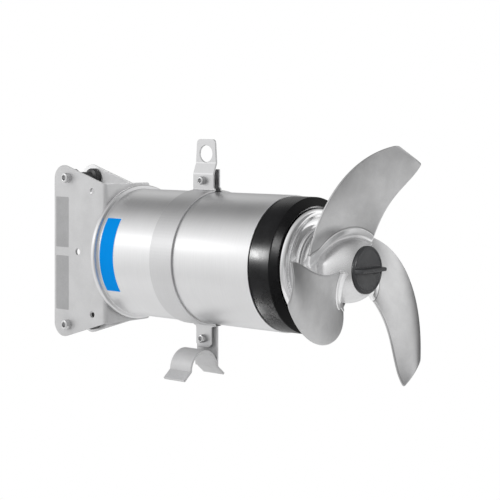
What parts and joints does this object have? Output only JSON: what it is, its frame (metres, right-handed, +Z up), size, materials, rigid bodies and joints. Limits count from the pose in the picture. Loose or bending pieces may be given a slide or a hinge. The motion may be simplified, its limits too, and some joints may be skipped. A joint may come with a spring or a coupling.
{
  "type": "submersible mixer",
  "caption": "Submersible mixer: a stainless motor casing drives a propeller with swept blades; a rear bracket with rollers slides on a guide bar, and a clamp carries a lifting eye and foot.",
  "frame": {"origin": "middle of the guide channel on the rear face of the bracket web, level with the shaft", "axes": "+X forward along the shaft towards the propeller, +Y to the side away from the channel, +Z up along the guide bar"},
  "size_m": [0.6004, 0.3212, 0.3663],
  "materials": {
    "bracket_steel": "satin sheet",
    "casing_steel": "fine brushed, bright",
    "blade_steel": "satin",
    "fastener_steel": "plain",
    "shaft_steel": "ground",
    "bearing_steel": "ground",
    "black_ring": "glossy black",
    "plug_plastic": "dark grey",
    "roller_plastic": "black",
    "gland_brass": "nickel plated",
    "core_iron": "stacked sheet",
    "winding_copper": "varnished copper wire",
    "cage_aluminium": "cast",
    "holder_iron": "machined",
    "seal_ceramic": "lapped ceramic",
    "rubber": "matt"
  },
  "bodies": {
    "drive_unit": {"guide_bracket": "bracket_steel", "far_guide_plate": "bracket_steel", "web_screws": "fastener_steel", "roller_bolts": "fastener_steel", "upper_roller_sleeve": "fastener_steel", "lower_roller_sleeve": "fastener_steel", "roller_washers": "fastener_steel", "roller_nuts": "fastener_steel", "rear_cover": "casing_steel", "rear_cover_screws": "fastener_steel", "rear_cover_oring": "rubber", "gland_body": "gland_brass", "gland_bush": "rubber", "gland_nut": "gland_brass", "rear_housing": "casing_steel", "stator_core": "core_iron", "stator_windings": "winding_copper", "bearing_holder": "casing_steel", "bearing_holder_orings": "rubber", "front_housing": "casing_steel", "bumper_ring": "black_ring", "seal_partition": "holder_iron", "inner_seal_seat": "seal_ceramic", "outer_seal_seat": "seal_ceramic", "front_cover": "casing_steel", "front_cover_oring": "rubber", "near_clamp_strap": "bracket_steel", "far_clamp_strap": "bracket_steel", "foot_arch": "bracket_steel", "foot_hanger": "bracket_steel", "clamp_screws": "fastener_steel", "clamp_nuts": "fastener_steel", "rear_bearing_outer_ring": "bearing_steel", "front_bearing_outer_ring": "bearing_steel"},
    "rotor": {"shaft": "shaft_steel", "rotor_core": "core_iron", "rotor_cage": "cage_aluminium", "inner_seal_ring": "seal_ceramic", "outer_seal_ring": "seal_ceramic", "propeller_hub": "blade_steel", "propeller_blade_1": "blade_steel", "propeller_blade_2": "blade_steel", "propeller_blade_3": "blade_steel", "propeller_key": "fastener_steel", "propeller_washer": "fastener_steel", "propeller_screw": "fastener_steel", "hub_plug": "plug_plastic", "hub_plug_oring": "rubber", "rear_bearing_inner_ring": "bearing_steel", "front_bearing_inner_ring": "bearing_steel", "rear_bearing_balls": "bearing_steel", "front_bearing_balls": "bearing_steel"},
    "upper_roller": {"upper_guide_roller": "roller_plastic"},
    "lower_roller": {"lower_guide_roller": "roller_plastic"}
  },
  "joints": [
    {"name": "rotor_spin", "type": "hinge", "parent": "drive_unit", "child": "rotor", "pos_m": [0.2, 0.0415, 0], "axis": [1, 0, 0], "continuous": true},
    {"name": "upper_roller_spin", "type": "hinge", "parent": "drive_unit", "child": "upper_roller", "pos_m": [-0.084, 0, 0.1195], "axis": [0, 1, 0], "continuous": true},
    {"name": "lower_roller_spin", "type": "hinge", "parent": "drive_unit", "child": "lower_roller", "pos_m": [-0.084, 0, -0.1195], "axis": [0, 1, 0], "continuous": true}
  ]
}
